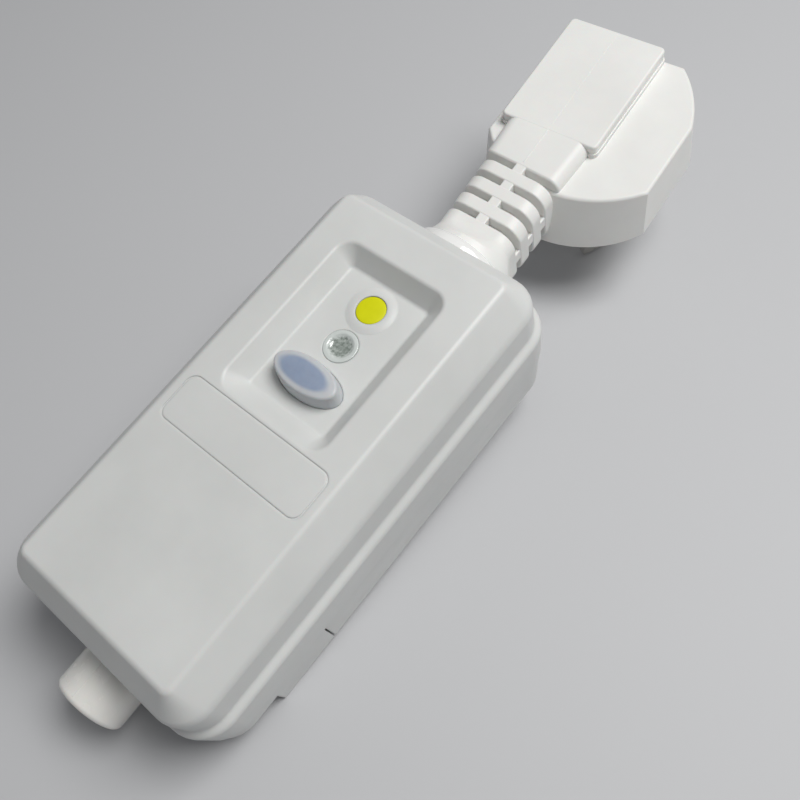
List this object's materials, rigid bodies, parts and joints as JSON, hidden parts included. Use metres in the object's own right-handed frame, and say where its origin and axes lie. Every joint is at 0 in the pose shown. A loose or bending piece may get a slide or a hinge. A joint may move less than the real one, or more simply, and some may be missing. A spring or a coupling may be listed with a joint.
{
  "type": "residual current device plug",
  "caption": "Portable residual current device: white case with recessed test and reset buttons, a cable gland at one end and a moulded flat-pin plug at the other.",
  "frame": {"origin": "middle of the flat underside of the case", "axes": "+X across the case, +Y along it towards the plug, +Z out of the face with the buttons"},
  "size_m": [0.0592, 0.2036, 0.0569],
  "materials": {
    "cover_plastic": "satin",
    "plug_vinyl": "satin",
    "collar_vinyl": "gloss",
    "gland_rubber": "satin",
    "cord_vinyl": "satin",
    "pin_metal": "polished",
    "carrier_plastic": "satin",
    "live_insulation": "satin",
    "neutral_insulation": "satin",
    "earth_insulation": "satin",
    "test_yellow": "satin",
    "reset_milky": "satin",
    "reset_blue": "satin",
    "window_clear": "clear",
    "lamp_resin": "satin",
    "board_laminate": "satin",
    "chip_black": "matt",
    "capacitor_sleeve": "satin",
    "varistor_coating": "satin",
    "resistor_coating": "satin",
    "frame_plastic": "satin",
    "carriage_plastic": "satin",
    "contact_copper": "satin",
    "spring_steel": "satin",
    "latch_steel": "satin",
    "bobbin_plastic": "satin",
    "winding_copper": "satin",
    "core_alloy": "satin",
    "terminal_brass": "satin",
    "block_plastic": "satin",
    "clamp_plastic": "satin",
    "screw_steel": "satin"
  },
  "bodies": {
    "case": {"top_cover": "cover_plastic", "base": "cover_plastic", "wiring_cover": "cover_plastic", "plug_body": "plug_vinyl", "cord_collar": "collar_vinyl", "output_gland": "gland_rubber", "supply_cord": "cord_vinyl", "neutral_pin": "pin_metal", "live_pin": "pin_metal", "earth_pin": "pin_metal", "pin_carrier": "carrier_plastic", "live_lead": "live_insulation", "neutral_lead": "neutral_insulation", "earth_lead": "earth_insulation", "indicator_lens": "window_clear", "indicator_led": "lamp_resin", "circuit_board": "board_laminate", "control_chip": "chip_black", "capacitor": "capacitor_sleeve", "varistor": "varistor_coating", "test_resistor": "resistor_coating", "mechanism_frame": "frame_plastic", "line_contacts": "contact_copper", "load_bars": "contact_copper", "reset_spring": "spring_steel", "opening_spring": "spring_steel", "plunger_spring": "spring_steel", "test_contact": "spring_steel", "solenoid_frame": "latch_steel", "solenoid_bobbin": "bobbin_plastic", "transformer_bobbin": "bobbin_plastic", "solenoid_coil": "winding_copper", "transformer_core": "core_alloy", "output_terminals": "terminal_brass", "terminal_block": "block_plastic", "cord_clamp": "clamp_plastic", "case_screws": "screw_steel", "wiring_cover_screws": "screw_steel", "block_screws": "screw_steel", "clamp_screws": "screw_steel", "terminal_screws": "screw_steel"},
    "test_button": {"test_button": "test_yellow"},
    "reset_button": {"reset_cap": "reset_milky", "reset_core": "reset_blue"},
    "carriage": {"contact_carriage": "carriage_plastic", "moving_contacts": "contact_copper"},
    "plunger": {"trip_plunger": "latch_steel"},
    "latch": {"latch_plate": "latch_steel"}
  },
  "joints": [
    {"name": "test_press", "type": "slide", "parent": "case", "child": "test_button", "axis": [0, 0, -1], "range_m": [0, 0.0012], "stiffness_N_per_m": 600, "springref_m": -0.0004, "deforming": ["test_contact"]},
    {"name": "reset_press", "type": "slide", "parent": "case", "child": "reset_button", "axis": [0, 0, -1], "range_m": [0, 0.0025], "stiffness_N_per_m": 500, "springref_m": -0.001, "deforming": ["reset_spring"]},
    {"name": "carriage_slide", "type": "slide", "parent": "case", "child": "carriage", "axis": [0, 0, -1], "range_m": [0, 0.0025], "deforming": ["opening_spring"]},
    {"name": "plunger_pull", "type": "slide", "parent": "case", "child": "plunger", "axis": [0, -1, 0], "range_m": [0, 0.0025], "stiffness_N_per_m": 300, "springref_m": -0.0006, "deforming": ["plunger_spring"]},
    {"name": "latch_slide", "type": "slide", "parent": "carriage", "child": "latch", "axis": [0, -1, 0], "range_m": [0, 0.0025]}
  ],
  "couplings": [
    {"joint": "carriage_slide", "follows": "reset_press", "ratio": 1},
    {"joint": "latch_slide", "follows": "plunger_pull", "ratio": 1}
  ]
}
